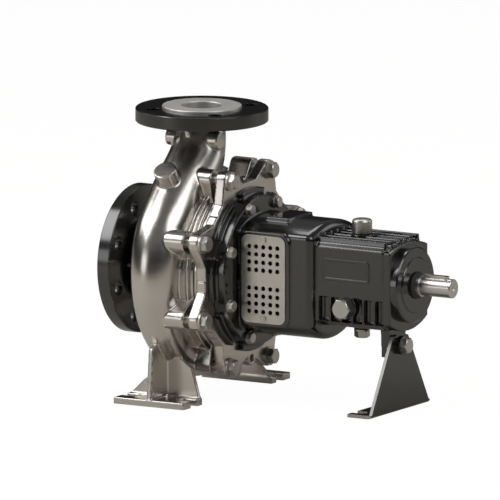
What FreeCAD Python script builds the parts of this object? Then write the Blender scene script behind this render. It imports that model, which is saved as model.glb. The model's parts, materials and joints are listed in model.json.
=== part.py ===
import FreeCAD, Part
import math
import os

from FreeCAD import Matrix, Vector

# Single-stage end-suction pump with a spiral casing, back pull-out cover and bearing bracket.
# Frame: origin at the centre of the suction sealing face, +X along the shaft to the drive
# end, +Z up to the discharge flange. Millimetres.

# Overall sizes
SUCTION_BORE_R = 32.5
DISCHARGE_BORE_R = 25.0
DISCHARGE_X = 100.0
DISCHARGE_FACE_Z = 200.0
FLOOR_Z = -160.0
SHAFT_END_X = 460.0
CASING_WALL = 5.0

# Loose flanges on welded stub rings
STUB_RING_T = 9.0
STUB_PROUD = 3.0
FLANGE_T = 17.0
FLANGE_SEAT_GAP = 0.3
FLANGE_NECK_GAP = 1.0
SUCTION_FLANGE_R = 92.5
SUCTION_STUB_R = 61.0
SUCTION_NECK_R = 38.0
SUCTION_PCD = 145.0
SUCTION_HOLES = 8
DISCHARGE_FLANGE_R = 82.5
DISCHARGE_STUB_R = 49.5
DISCHARGE_NECK_R = 29.5
DISCHARGE_PCD = 125.0
DISCHARGE_HOLES = 4
FLANGE_HOLE_R = 9.0

# Spiral of the casing: angles run clockwise from the top, seen from the drive end
SPIRAL_START_DEG = 20.0
SPIRAL_END_DEG = 270.0
SPIRAL_SECTIONS = 9
SPIRAL_START_TUBE_R = 16.5
SPIRAL_END_TUBE_R = 30.0
SPIRAL_START_OUTER_R = 126.0
SPIRAL_END_OUTER_R = 146.0

# Discharge neck: shares of the throat's offset and of the height, and the tube radius there
NECK_SECTIONS = (
    (0.905, 0.20, 33.0), (0.63, 0.39, 36.0), (0.345, 0.55, 35.5), (0.105, 0.685, 34.5),
    (0.035, 0.79, 32.0),
)
NECK_TOP_STRAIGHT = 14.0

# Casing barrel, lobes and the joint with the cover
BARREL_R = 112.0
BARREL_RECESS = 3.0
BARREL_BEAD_X = 113.0
BARREL_BEAD_W = 5.0
BARREL_FRONT_X = 78.0
JOINT_X = 148.0
JOINT_GROOVE_R = 106.0
JOINT_GROOVE_W = 7.0
SPIGOT_R = 100.0
SPIGOT_GAP = 0.05
LOBES = 8
LOBE_PITCH_R = 126.5
LOBE_R = 13.0
LOBE_ROOT_HALF = 17.0
LOBE_FRONT_X = 118.0

# Cover
COVER_T = 20.0
COVER_VALLEY_R = 108.5
COVER_WALL_X = 114.0
COVER_WALL_T = 8.0
COVER_RIM_R = 76.0
SEAL_CHAMBER_R = 33.0
SEAL_HUB_R = 45.0
SEAT_R = 25.0
JACKING_R = 4.5
JACKING_PITCH_R = 114.0
JACKING_DEG = 3.0

# Impeller
IMPELLER_R = 96.0
IMPELLER_WIDTH = 10.0
SHROUD_T = 4.0
EYE_R = 33.0
EYE_RING_R = 40.0
EYE_FRONT_X = 77.0
WEAR_GAP = 0.25
WEAR_RING_T = 3.0
WEAR_RING_W = 9.0
BLADES = 6
BLADE_T = 4.0
BLADE_INNER_R = 36.0
HUB_R = 19.0
HUB_FRONT_X = 92.0
HUB_BACK_X = 118.0
BALANCE_HOLE_R = 3.0
BALANCE_PITCH_R = 26.0

# Shaft
SHAFT_NUT_R = 8.0
SHAFT_IMPELLER_R = 12.0
SHAFT_SEAL_R = 14.0
SHAFT_BEARING_R = 15.0
SHAFT_MIDDLE_R = 18.0
SHAFT_OUTER_R = 13.5
SHAFT_END_R = 12.0
SHAFT_FRONT_X = 80.0
SHAFT_STEP_X = 416.0
FIT_GAP = 0.03
KEY_W = 8.0
KEY_H = 7.0
KEY_L = 36.0
KEY_DEPTH = 4.0
IMPELLER_KEY_W = 6.0
IMPELLER_KEY_H = 5.0

# Ball bearings
BEARING_BORE_R = SHAFT_BEARING_R
BEARING_R = 36.0
BEARING_W = 19.0
BALL_R = 6.0
BALLS = 8
BALL_GAP = 0.05
RACE_HALF_GAP = 3.4

# Bearing bracket: flange, lantern and bearing housing in one casting
BRACKET_FOOT_R = 102.5
BRACKET_FOOT_T = 6.0
BRACKET_RING_R = 93.5
BRACKET_RING_T = 12.0
BRACKET_OPENING_R = 60.0
NOTCH_HALF_DEG = 6.5
BRACKET_BOLT_PITCH_R = 87.0
LANTERN_END_X = 290.0
LANTERN_HALF_Y = 57.0
LANTERN_CORNER_Z = 58.0
LANTERN_TOP_Z = 71.5
LANTERN_BOTTOM_Z = -77.5
LANTERN_WALL = 8.0
LANTERN_END_ROUND = 9.0
HOUSING_FRONT_X = 280.0
HOUSING_END_X = 396.0
HOUSING_HALF_Y = 47.0
HOUSING_TOP_Z = 50.0
HOUSING_CHAMFER = 4.0
HOUSING_SIDE_LOW_Z = -47.0
HOUSING_BOTTOM_Z = -54.5
HOUSING_BOTTOM_HALF_Y = 34.0
FIN_TIP_Z = 57.0
FIN_PITCH = 15.6
FINS = 6
FIN_TIP_T = 4.0
FIN_ROOT_T = 7.0
FIN_START_X = 292.0
FIN_END_X = 387.0
POCKET_TOP_Z = -16.5
POCKET_DEPTH = 9.0
RIB_PITCH = 15.8
RIB_T = 3.0
RIBS = 5
POCKET_START_X = 294.0
POCKET_END_X = 385.0
SUMP_HALF_Y = 36.0
SUMP_FLOOR_T = 5.5
FRONT_WALL_T = 10.0
REAR_BEARING_INSET = 22.0
END_FLANGE_T = 11.0
END_FLANGE_HALF_Y = 46.5
END_FLANGE_CORNER_Z = 45.0
END_FLANGE_TOP_Z = 53.5
END_FLANGE_BOTTOM_Z = -58.0

# Guard windows and plates
PAD_X0 = 188.0
PAD_X1 = 259.0
PAD_HALF_Z = 59.0
PAD_PROUD = 3.0
WINDOW_X0 = 199.0
WINDOW_X1 = 248.0
WINDOW_HALF_Z = 44.5
WINDOW_CORNER = 8.0
GUARD_X0 = 192.0
GUARD_X1 = 254.0
GUARD_HALF_Z = 55.0
GUARD_T = 1.5
GUARD_CORNER = 9.0
GUARD_HOLE_R = 2.9
GUARD_HOLE_PITCH_X = 10.1
GUARD_HOLE_COLUMNS = 5
GUARD_HOLE_ROWS = (11.4, 21.2, 31.0, 40.8)
GUARD_SCREW_Z = 49.5
GUARD_SCREW_R = 2.0

# Bearing cover and drive end
BEARING_COVER_R = 47.3
BEARING_COVER_T = 11.0
BEARING_COVER_STEP = 1.5
BEARING_COVER_STEP_R = 35.0
COVER_SCREW_PITCH_R = 41.3
COVER_SCREW_HEAD_R = 3.4
COVER_SCREW_HEAD_T = 3.0
COVER_SCREWS = 4
LIP_SEAL_R = 21.0
LIP_SEAL_W = 7.0
DEFLECTOR_R = 17.0
DEFLECTOR_W = 4.0

# Hexagon bolts, washers and plugs
CASING_BOLT_R = 6.0
CASING_BOLT_FLATS = 18.0
CASING_BOLT_HEAD = 7.5
CASING_WASHER_R = 12.0
CASING_WASHER_T = 2.5
BRACKET_BOLT_R = 4.0
BRACKET_BOLT_FLATS = 13.0
BRACKET_BOLT_HEAD = 5.3
BRACKET_WASHER_R = 8.0
BRACKET_WASHER_T = 1.5
THREAD_GAP = 0.05
HOLE_GAP = 0.7
PLUG_X = 329.0
FILLER_R = 12.5
FILLER_BASE_Z = 58.0
FILLER_TOP_Z = 77.0
PLUG_THREAD_R = 8.0
DRAIN_THREAD_R = 6.0
DRAIN_FLATS = 17.0
DRAIN_COLLAR_R = 10.0
DRAIN_BOSS_T = 5.5
DRAIN_HEAD_T = 9.0
LEVEL_X = 333.0
LEVEL_Z = -28.0
LEVEL_FLATS = 23.0
LEVEL_BOSS_R = 14.0
LEVEL_HEAD_Y = -62.0
SEAL_WASHER_T = 1.5

# Casing feet
FOOT_X0 = 50.0
FOOT_X1 = 150.0
FOOT_T = 8.5
FOOT_INNER_Y = 85.5
FOOT_OUTER_Y = 132.5
FOOT_SLOT_Y = 106.0
FOOT_SLOT_HALF_SPACING = 35.0
FOOT_SLOT_R = 7.5
FOOT_RIB_T = 7.0
FOOT_RIB_TOP_Z = -88.0
FOOT_SHOULDER_R = 136.5
FOOT_SHOULDER_X = 124.0
FOOT_WEB_Y = 89.0
FOOT_WEB_T = 6.0
FOOT_WEB_TOP_Z = -96.0
STEEP_WEB_REACH = 38.0
STEEP_WEB_Z = -114.0
SHALLOW_WEB_REACH = 29.0
SHALLOW_WEB_Z = -133.0

# Support foot under the bearing housing
SUPPORT_T = 4.3
SUPPORT_PLATE_X = 379.5
SUPPORT_TOE_X = 350.0
SUPPORT_BASE_HALF_Y = 73.0
SUPPORT_TOP_HALF_Y = 19.0
SUPPORT_TOP_Z = -66.5
SUPPORT_SLOT_Y = 55.0
SUPPORT_SLOT_X = 361.0
SUPPORT_SLOT_R = 7.0
SUPPORT_BOLT_Z = -77.0
SUPPORT_WASHER_T = 6.0
LUG_X0 = 368.0
LUG_LOW_Z = -91.0
LUG_HALF_Y = 20.0

# Sizes that follow from the ones above
COVER_END_X = JOINT_X + COVER_T
EAR_X = JOINT_X + JOINT_GROOVE_W
BRACKET_RING_X = COVER_END_X + BRACKET_FOOT_T
LANTERN_X = BRACKET_RING_X + BRACKET_RING_T
BEARING_FRONT_X = HOUSING_FRONT_X + FRONT_WALL_T
BEARING_REAR_X = HOUSING_END_X - REAR_BEARING_INSET
BEARING_COVER_END_X = HOUSING_END_X + BEARING_COVER_T
SUMP_LOW_Z = HOUSING_BOTTOM_Z + SUMP_FLOOR_T
DRAIN_TOP_Z = HOUSING_BOTTOM_Z - DRAIN_BOSS_T
BALL_ORBIT_R = (BEARING_BORE_R + BEARING_R) / 2
LOBE_STEP_DEG = 360.0 / LOBES
LOBE_START_DEG = LOBE_STEP_DEG / 2
IMPELLER_FRONT_X = DISCHARGE_X - IMPELLER_WIDTH / 2 - SHROUD_T
IMPELLER_BACK_X = DISCHARGE_X + IMPELLER_WIDTH / 2 + SHROUD_T

X_AXIS = Vector(1, 0, 0)
Y_AXIS = Vector(0, 1, 0)
Z_AXIS = Vector(0, 0, 1)
ORIGIN = Vector(0, 0, 0)


def rod(x0, x1, radius, y=0.0, z=0.0):
    """Cylinder along X from x0 to x1."""
    return Part.makeCylinder(radius, x1 - x0, Vector(x0, y, z), X_AXIS)


def post(z0, z1, radius, x=0.0, y=0.0):
    """Cylinder along Z from z0 to z1."""
    return Part.makeCylinder(radius, z1 - z0, Vector(x, y, z0), Z_AXIS)


def block(x0, x1, y0, y1, z0, z1):
    return Part.makeBox(x1 - x0, y1 - y0, z1 - z0, Vector(x0, y0, z0))


def turned(profile):
    """Solid of revolution about X from a closed outline of (x, radius) points."""
    points = [Vector(x, 0, r) for x, r in profile]
    face = Part.Face(Part.makePolygon(points + points[:1]))
    return face.revolve(ORIGIN, X_AXIS, 360)


def turned_about_z(profile, x):
    """Solid of revolution about a vertical line at x from (radius, z) points."""
    points = [Vector(x + r, 0, z) for r, z in profile]
    face = Part.Face(Part.makePolygon(points + points[:1]))
    return face.revolve(Vector(x, 0, 0), Z_AXIS, 360)


def prism_x(outline, x0, x1):
    """Prism along X of a closed outline of (y, z) points."""
    points = [Vector(x0, y, z) for y, z in outline]
    return Part.Face(Part.makePolygon(points + points[:1])).extrude(Vector(x1 - x0, 0, 0))


def prism_y(outline, y0, y1):
    """Prism along Y of a closed outline of (x, z) points."""
    points = [Vector(x, y0, z) for x, z in outline]
    return Part.Face(Part.makePolygon(points + points[:1])).extrude(Vector(0, y1 - y0, 0))


def around(shape, degrees):
    """The shape turned about the shaft axis; zero degrees is the +Y side."""
    copy = shape.copy()
    copy.rotate(ORIGIN, X_AXIS, degrees)
    return copy


def fused(shapes):
    return shapes[0].multiFuse(shapes[1:]).removeSplitter()


def lobe_angles():
    return [LOBE_START_DEG + LOBE_STEP_DEG * i for i in range(LOBES)]


def rounded_plate(x0, x1, half_z, corner, y0, y1):
    """Plate in the XZ plane with rounded corners, between y0 and y1."""
    plate = block(x0, x1, y0, y1, -half_z, half_z)
    uprights = [e for e in plate.Edges if abs(e.tangentAt(e.FirstParameter).y) > 0.99]
    return plate.makeFillet(corner, uprights)


def hex_head(flats, height):
    """Hexagon head along +X from x = 0, with its outer corners turned off."""
    corner = flats / math.sqrt(3)
    outline = [
        (corner * math.cos(math.radians(60 * i)), corner * math.sin(math.radians(60 * i)))
        for i in range(6)
    ]
    crown = 0.16 * (corner - flats / 2) + flats / 2
    cone = turned([
        (0, 0), (0, corner + 1), (height - 0.12 * flats, corner + 1),
        (height - 0.05 * flats, crown), (height, 0.94 * flats / 2), (height, 0),
    ])
    return prism_x(outline, 0, height).common(cone)


def hex_bolt(shank_r, flats, head, length):
    """Hexagon bolt with its head's bearing face at x = 0 and its shank towards -X."""
    chamfer = 0.2 * shank_r
    shank = turned([
        (-length, 0), (-length, shank_r - chamfer), (-length + chamfer, shank_r),
        (0.5, shank_r), (0.5, 0),
    ])
    return hex_head(flats, head).fuse(shank)


def washer(inner_r, outer_r, thickness):
    return rod(0, thickness, outer_r).cut(rod(-1, thickness + 1, inner_r))


def placed_round(shape, x, pitch_r, angles):
    """Copies of a shape modelled about X, set at x on a pitch circle."""
    copies = []
    for angle in angles:
        copy = shape.copy()
        copy.translate(Vector(x, pitch_r, 0))
        copies.append(around(copy, angle))
    return Part.makeCompound(copies)


def round_section(centre, along, radius):
    """Circle across a tube, with its seam always on the drive side."""
    along = along.normalize()
    side = along.cross(X_AXIS)
    circle = Part.makeCircle(radius)
    circle.Placement = FreeCAD.Placement(Matrix(
        1, side.x, along.x, centre.x,
        0, side.y, along.y, centre.y,
        0, side.z, along.z, centre.z,
        0, 0, 0, 1,
    ))
    return Part.Wire(circle)


def spiral_stations():
    """Centre and radius of each section: round the spiral, then up the discharge neck."""
    stations = []
    for i in range(SPIRAL_SECTIONS):
        t = i / (SPIRAL_SECTIONS - 1)
        angle = math.radians(SPIRAL_START_DEG + (SPIRAL_END_DEG - SPIRAL_START_DEG) * t)
        tube_r = SPIRAL_START_TUBE_R + (SPIRAL_END_TUBE_R - SPIRAL_START_TUBE_R) * t
        outer_r = SPIRAL_START_OUTER_R + (SPIRAL_END_OUTER_R - SPIRAL_START_OUTER_R) * t
        centre_r = outer_r - tube_r
        stations.append((centre_r * math.sin(angle), centre_r * math.cos(angle), tube_r))
    throat_y = SPIRAL_END_TUBE_R - SPIRAL_END_OUTER_R
    neck_top = DISCHARGE_FACE_Z - STUB_RING_T
    stations += [
        (offset * throat_y, height * DISCHARGE_FACE_Z, radius)
        for offset, height, radius in NECK_SECTIONS
    ]
    stations += [
        (0.0, neck_top - NECK_TOP_STRAIGHT, DISCHARGE_NECK_R), (0.0, neck_top, DISCHARGE_NECK_R),
    ]
    return stations


def spiral_tube(shrink, extra_top=0.0):
    """The spiral and discharge neck as one tube, thinner by shrink and longer by extra_top."""
    stations = spiral_stations()
    top_y, top_z, top_r = stations[-1]
    stations[-1] = (top_y, top_z + extra_top, top_r)
    centres = [Vector(DISCHARGE_X, y, z) for y, z, r in stations]
    wires = []
    for i, (y, z, radius) in enumerate(stations):
        before = centres[max(i - 1, 0)]
        after = centres[min(i + 1, len(centres) - 1)]
        along = after.sub(before)
        if i == 0:
            start = math.radians(SPIRAL_START_DEG)
            along = Vector(0, math.cos(start), -math.sin(start))
        if i >= len(centres) - 2:
            along = Vector(0, 0, 1)
        wires.append(round_section(centres[i], along, radius - shrink))
    return Part.makeLoft(wires, True, False)


def lobe(x0, x1):
    """One bolt lobe with flanks running tangentially into the barrel, on the +Y side."""
    flat = [
        (SPIGOT_R + 4, -LOBE_ROOT_HALF), (LOBE_PITCH_R, -LOBE_R),
        (LOBE_PITCH_R, LOBE_R), (SPIGOT_R + 4, LOBE_ROOT_HALF),
    ]
    return rod(x0, x1, LOBE_R, LOBE_PITCH_R).fuse(prism_x(flat, x0, x1))


def casing_outside():
    front_wall = IMPELLER_FRONT_X - 4
    recess_r = BARREL_R - BARREL_RECESS
    bead_end = BARREL_BEAD_X + BARREL_BEAD_W
    body = turned([
        (STUB_RING_T, 0), (STUB_RING_T, SUCTION_NECK_R), (22, SUCTION_NECK_R),
        (25, 48), (28, 51), (46, 53), (56, 58), (64, 68), (70, 84), (BARREL_FRONT_X, 100),
        (front_wall, BARREL_R - 4), (100, BARREL_R), (bead_end, BARREL_R),
        (bead_end + 1, recess_r), (JOINT_X - 8, recess_r), (JOINT_X - 7, BARREL_R),
        (JOINT_X - 4, BARREL_R), (JOINT_X - 3, JOINT_GROOVE_R), (JOINT_X, JOINT_GROOVE_R),
        (JOINT_X, 0),
    ])
    lobes = [around(lobe(LOBE_FRONT_X, JOINT_X - 1), angle) for angle in lobe_angles()]
    return [body, spiral_tube(0.0)] + lobes + bosses() + foot_shoulders() + feet() + neck_gussets()


def foot_shoulders():
    """Thicker rims low on both sides, from lobe to lobe, where the feet join the barrel."""
    start = FOOT_SHOULDER_X - 14
    end = FOOT_SHOULDER_X
    low = math.radians(LOBE_START_DEG + LOBE_STEP_DEG)
    high = math.radians(LOBE_START_DEG)
    reach = 2 * FOOT_SHOULDER_R
    shoulders = []
    for side in (-1, 1):
        wedge = prism_x([
            (0, 0), (side * reach * math.cos(high), -reach * math.sin(high)),
            (side * reach * math.cos(low), -reach * math.sin(low)),
        ], start - 1, end + 1)
        shoulders.append(rod(start, end, FOOT_SHOULDER_R).common(wedge))
    return shoulders


def bosses():
    """Blank bosses: two across the discharge neck and one on the shoulder of the spiral."""
    neck_y = -17.0
    neck_z = 0.80 * DISCHARGE_FACE_Z
    across = rod(DISCHARGE_X - 37, DISCHARGE_X + 37, 11, neck_y, neck_z)
    lean = math.radians(35)
    out = Vector(0, -math.sin(lean), math.cos(lean))
    base = Vector(DISCHARGE_X, 0, 0) + out * 130
    shoulder = Part.makeCylinder(14.5, 31.6, base, out)
    return [across, shoulder]


def neck_gussets():
    """Tapered gussets that carry the discharge stub ring on both sides."""
    low = DISCHARGE_FACE_Z - STUB_RING_T - 38
    high = DISCHARGE_FACE_Z - STUB_PROUD - FLANGE_T - 1.0
    outline = [(-8, low), (-32, low + 2), (-41, high), (-8, high)]
    near = prism_x(outline, DISCHARGE_X - 3, DISCHARGE_X + 3)
    far = near.mirror(ORIGIN, Y_AXIS)
    rib = block(24, 60, -58, 58, -2, 2).common(rod(24, 60, 56))
    return [near, far, rib]


def feet():
    """Two slotted foot plates, each carried by a cross rib and a web along the shaft."""
    parts = []
    foot_reach = (FOOT_X1 - FOOT_X0) / 2 - 1
    for side in (-1, 1):
        plate = block(
            FOOT_X0, FOOT_X1, min(side * FOOT_INNER_Y, side * FOOT_OUTER_Y),
            max(side * FOOT_INNER_Y, side * FOOT_OUTER_Y), FLOOR_Z, FLOOR_Z + FOOT_T,
        )
        for end in (-1, 1):
            slot_x = DISCHARGE_X + end * FOOT_SLOT_HALF_SPACING
            mouth = DISCHARGE_X + end * (FOOT_X1 - FOOT_X0)
            slot = post(FLOOR_Z - 1, FLOOR_Z + FOOT_T + 1, FOOT_SLOT_R, slot_x, side * FOOT_SLOT_Y)
            slot = slot.fuse(block(
                min(slot_x, mouth), max(slot_x, mouth),
                side * FOOT_SLOT_Y - FOOT_SLOT_R, side * FOOT_SLOT_Y + FOOT_SLOT_R,
                FLOOR_Z - 1, FLOOR_Z + FOOT_T + 1,
            ))
            plate = plate.cut(slot)
        rib = prism_x([
            (side * (FOOT_OUTER_Y - 0.5), FLOOR_Z + FOOT_T - 1),
            (side * (FOOT_OUTER_Y - 6), FOOT_RIB_TOP_Z),
            (side * 92, FOOT_RIB_TOP_Z + 10),
            (side * 60, -118),
            (side * (FOOT_INNER_Y + 1), FLOOR_Z + FOOT_T - 1),
        ], DISCHARGE_X - FOOT_RIB_T / 2, DISCHARGE_X + FOOT_RIB_T / 2)
        web_y = sorted((side * (FOOT_WEB_Y - FOOT_WEB_T / 2), side * (FOOT_WEB_Y + FOOT_WEB_T / 2)))
        steep = -side * STEEP_WEB_REACH
        shallow = side * SHALLOW_WEB_REACH
        low = FLOOR_Z + FOOT_T - 1
        web = prism_y([
            (DISCHARGE_X + shallow, SHALLOW_WEB_Z), (DISCHARGE_X + side * 8, SHALLOW_WEB_Z + 15),
            (DISCHARGE_X + side * 8, FOOT_WEB_TOP_Z), (DISCHARGE_X - side * 12, FOOT_WEB_TOP_Z),
            (DISCHARGE_X + steep, STEEP_WEB_Z), (DISCHARGE_X - side * foot_reach, low),
            (DISCHARGE_X + side * foot_reach, low),
        ], web_y[0], web_y[1])
        parts += [plate, rib, web]
    return parts


def casing():
    """Cast casing: suction neck, spiral, discharge neck, barrel, lobes and feet."""
    outside, *others = casing_outside()
    for shape in others:
        outside = outside.fuse(shape)
    ring_x = EYE_FRONT_X + WEAR_RING_W
    hollow = turned([
        (STUB_RING_T - 1, 0), (STUB_RING_T - 1, SUCTION_BORE_R),
        (EYE_FRONT_X - 2, SUCTION_BORE_R), (EYE_FRONT_X - 2, EYE_RING_R - 2),
        (EYE_FRONT_X - 0.5, EYE_RING_R - 2), (EYE_FRONT_X - 0.5, EYE_RING_R + WEAR_RING_T),
        (ring_x, EYE_RING_R + WEAR_RING_T), (ring_x, 50),
        (IMPELLER_FRONT_X - 3, SPIGOT_R - 8), (IMPELLER_FRONT_X, SPIGOT_R),
        (JOINT_X + 1, SPIGOT_R), (JOINT_X + 1, 0),
    ])
    body = outside.cut(spiral_tube(CASING_WALL, 2.0)).cut(hollow)
    bolt_holes = placed_round(
        rod(0, 22, CASING_BOLT_R + THREAD_GAP), JOINT_X - 22.5, LOBE_PITCH_R, lobe_angles()
    )
    return body.cut(bolt_holes)


def stub_ring(bore_r, outer_r):
    """Welded stub ring with rounded edges, sealing face at x = 0, towards +X."""
    ring = rod(0, STUB_RING_T, outer_r).cut(rod(-1, STUB_RING_T + 1, bore_r))
    rims = [e for e in ring.Edges if e.Closed and abs(e.BoundBox.XMin) < 0.01]
    return ring.makeFillet(1.5, rims)


def loose_flange(outer_r, stub_r, neck_r, pcd, holes, first_deg):
    """Loose backing flange modelled like the stub ring, with its seat for the ring."""
    front = STUB_PROUD
    back = STUB_PROUD + FLANGE_T
    disc = rod(front, back, outer_r)
    rims = [e for e in disc.Edges if e.Closed]
    disc = disc.makeChamfer(1.0, rims)
    disc = disc.cut(rod(front - 1, STUB_RING_T, stub_r + FLANGE_SEAT_GAP))
    disc = disc.cut(rod(front - 1, back + 1, neck_r + FLANGE_NECK_GAP))
    angles = [first_deg + 360.0 / holes * i for i in range(holes)]
    return disc.cut(placed_round(rod(0, FLANGE_T + 2, FLANGE_HOLE_R), front - 1, pcd / 2, angles))


def to_discharge(shape):
    """Turn a shape modelled on the suction side so that it faces up on the discharge neck."""
    copy = shape.copy()
    copy.rotate(ORIGIN, Y_AXIS, 90)
    copy.translate(Vector(DISCHARGE_X, 0, DISCHARGE_FACE_Z))
    return copy


def wear_ring():
    outer = EYE_RING_R + WEAR_RING_T - FIT_GAP
    inner = EYE_RING_R + WEAR_GAP
    return rod(EYE_FRONT_X, EYE_FRONT_X + WEAR_RING_W, outer).cut(
        rod(EYE_FRONT_X - 1, EYE_FRONT_X + WEAR_RING_W + 1, inner)
    )


def casing_gasket():
    """Flat ring gasket squeezed between the casing joint face and the cover."""
    return rod(JOINT_X, JOINT_X + 1.0, JOINT_GROOVE_R - 1).cut(
        rod(JOINT_X - 1, JOINT_X + 2, SPIGOT_R)
    )


def cover_star(x0, x1):
    """Star plate: straight flanks run from each valley tangentially onto the lobes."""
    half_step = math.radians(LOBE_STEP_DEG / 2)
    reach = math.hypot(
        LOBE_PITCH_R - COVER_VALLEY_R * math.cos(half_step),
        COVER_VALLEY_R * math.sin(half_step),
    )
    lean = math.atan2(
        COVER_VALLEY_R * math.sin(half_step),
        COVER_VALLEY_R * math.cos(half_step) - LOBE_PITCH_R,
    )
    touch = lean - math.acos(LOBE_R / reach)
    outline = []
    for angle in lobe_angles():
        mid = math.radians(angle)
        for sign in (-1, 1):
            flank = [
                (COVER_VALLEY_R * math.cos(mid - half_step), COVER_VALLEY_R * math.sin(mid - half_step)),
            ] if sign < 0 else []
            toward = mid + sign * touch
            flank.append((
                LOBE_PITCH_R * math.cos(mid) + LOBE_R * math.cos(toward),
                LOBE_PITCH_R * math.sin(mid) + LOBE_R * math.sin(toward),
            ))
            outline += flank
    rounds = [around(rod(x0, x1, LOBE_R, LOBE_PITCH_R), angle) for angle in lobe_angles()]
    return fused([prism_x(outline, x0, x1)] + rounds)


def casing_cover():
    """Bowl-shaped cover with the seal chamber in its hub and a lobed bolting rim."""
    wall_x = COVER_WALL_X
    hub_end = COVER_END_X - 8
    body = turned([
        (wall_x, SEAL_CHAMBER_R), (wall_x, SPIGOT_R - SPIGOT_GAP),
        (JOINT_X + 1, SPIGOT_R - SPIGOT_GAP), (JOINT_X + 1, JOINT_GROOVE_R),
        (EAR_X, JOINT_GROOVE_R), (COVER_END_X, JOINT_GROOVE_R), (COVER_END_X, COVER_RIM_R), (wall_x + COVER_WALL_T, COVER_RIM_R),
        (wall_x + COVER_WALL_T, SEAL_HUB_R), (hub_end, SEAL_HUB_R),
        (hub_end, SHAFT_SEAL_R + 3), (hub_end - 4, SHAFT_SEAL_R + 3), (hub_end - 4, SEAT_R),
        (hub_end - 10, SEAT_R), (hub_end - 10, SEAL_CHAMBER_R),
    ])
    star = cover_star(EAR_X, COVER_END_X).cut(rod(EAR_X - 1, COVER_END_X + 1, SPIGOT_R - 5))
    jacking_y = JACKING_PITCH_R * math.sin(math.radians(JACKING_DEG))
    jacking_z = -JACKING_PITCH_R * math.cos(math.radians(JACKING_DEG))
    jacking_boss = rod(EAR_X + 3, COVER_END_X, 2 * JACKING_R, jacking_y, jacking_z)
    body = fused([body, star, jacking_boss])
    body = body.cut(rod(EAR_X, COVER_END_X + 1, JACKING_R, jacking_y, jacking_z))
    body = body.cut(placed_round(
        rod(0, COVER_T, CASING_BOLT_R + HOLE_GAP), EAR_X - 1, LOBE_PITCH_R, lobe_angles()
    ))
    return body.cut(placed_round(
        rod(0, 13, BRACKET_BOLT_R + THREAD_GAP), COVER_END_X - 12,
        BRACKET_BOLT_PITCH_R, lobe_angles(),
    ))


def impeller():
    """Closed impeller: two shrouds, backward-curved blades, eye ring and bored hub."""
    front_inner = DISCHARGE_X - IMPELLER_WIDTH / 2
    back_inner = DISCHARGE_X + IMPELLER_WIDTH / 2
    eye_bend = EYE_FRONT_X + 9
    front = turned([
        (EYE_FRONT_X, EYE_R), (EYE_FRONT_X, EYE_RING_R), (eye_bend + 1, EYE_RING_R),
        (eye_bend + 2.5, EYE_RING_R + 5), (IMPELLER_FRONT_X, 62), (IMPELLER_FRONT_X, IMPELLER_R),
        (front_inner, IMPELLER_R), (front_inner, 62), (eye_bend + 5, 42), (eye_bend, 36),
        (eye_bend - 3, EYE_R),
    ])
    back = turned([
        (HUB_FRONT_X, SHAFT_IMPELLER_R + FIT_GAP), (HUB_FRONT_X, HUB_R),
        (back_inner - 6, HUB_R + 2), (back_inner - 1, HUB_R + 8), (back_inner, 44),
        (back_inner, IMPELLER_R), (IMPELLER_BACK_X, IMPELLER_R), (IMPELLER_BACK_X, HUB_R + 2),
        (HUB_BACK_X, HUB_R), (HUB_BACK_X, SHAFT_IMPELLER_R + FIT_GAP),
    ])
    blades = blade_row(back_inner + 0.5)
    keyway = block(
        HUB_FRONT_X - 1, HUB_BACK_X + 1, -IMPELLER_KEY_W / 2, IMPELLER_KEY_W / 2,
        0, SHAFT_IMPELLER_R + IMPELLER_KEY_H / 2,
    )
    holes = placed_round(
        rod(0, 20, BALANCE_HOLE_R), back_inner - 8, BALANCE_PITCH_R, [60 * i for i in range(6)]
    )
    return fused([front, back] + blades).cut(keyway).cut(holes)


def blade_row(back_x):
    """Backward-curved blades: an arc-sided strip cut to the passage between the shrouds."""
    passage = turned([
        (EYE_FRONT_X + 10, BLADE_INNER_R + 1), (EYE_FRONT_X + 14, 41.5),
        (DISCHARGE_X - IMPELLER_WIDTH / 2 - 0.5, 62), (DISCHARGE_X - IMPELLER_WIDTH / 2 - 0.5,
        IMPELLER_R - 0.3), (back_x, IMPELLER_R - 0.3), (back_x, 44), (back_x - 1.5, BLADE_INNER_R),
    ])
    sweep = 78.0
    blades = []
    for i in range(BLADES):
        sides = []
        for half in (BLADE_T / 2, -BLADE_T / 2):
            points = []
            for t in (0.0, 0.5, 1.0):
                radius = (BLADE_INNER_R - 4) + (IMPELLER_R + 3 - BLADE_INNER_R + 4) * t
                angle = math.radians(-sweep * t ** 0.8) + half / radius * 1.8
                points.append(Vector(
                    EYE_FRONT_X, radius * math.sin(angle), radius * math.cos(angle)
                ))
            sides.append(points)
        outer, inner = sides
        edges = [
            Part.Arc(*outer).toShape(), Part.makeLine(outer[2], inner[2]),
            Part.Arc(*reversed(inner)).toShape(), Part.makeLine(inner[0], outer[0]),
        ]
        strip = Part.Face(Part.Wire(edges)).extrude(Vector(back_x + 1 - EYE_FRONT_X, 0, 0))
        blades.append(around(strip.common(passage), 360.0 / BLADES * i))
    return blades


def impeller_washer():
    return rod(HUB_FRONT_X - 3, HUB_FRONT_X, 15).cut(
        rod(HUB_FRONT_X - 4, HUB_FRONT_X + 1, SHAFT_NUT_R + FIT_GAP)
    )


def impeller_nut():
    """Hexagon nut with a domed cap that faces the incoming water."""
    nut = hex_head(22, 13)
    nut = nut.mirror(ORIGIN, X_AXIS)
    nut.translate(Vector(HUB_FRONT_X - 3, 0, 0))
    return nut.cut(rod(SHAFT_FRONT_X - 0.5, HUB_FRONT_X, SHAFT_NUT_R + FIT_GAP))


def impeller_key():
    top = SHAFT_IMPELLER_R + IMPELLER_KEY_H / 2 - 0.1
    half = IMPELLER_KEY_W / 2 - FIT_GAP
    return block(HUB_FRONT_X + 3, HUB_BACK_X - 2, -half, half, top - IMPELLER_KEY_H, top)


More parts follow.
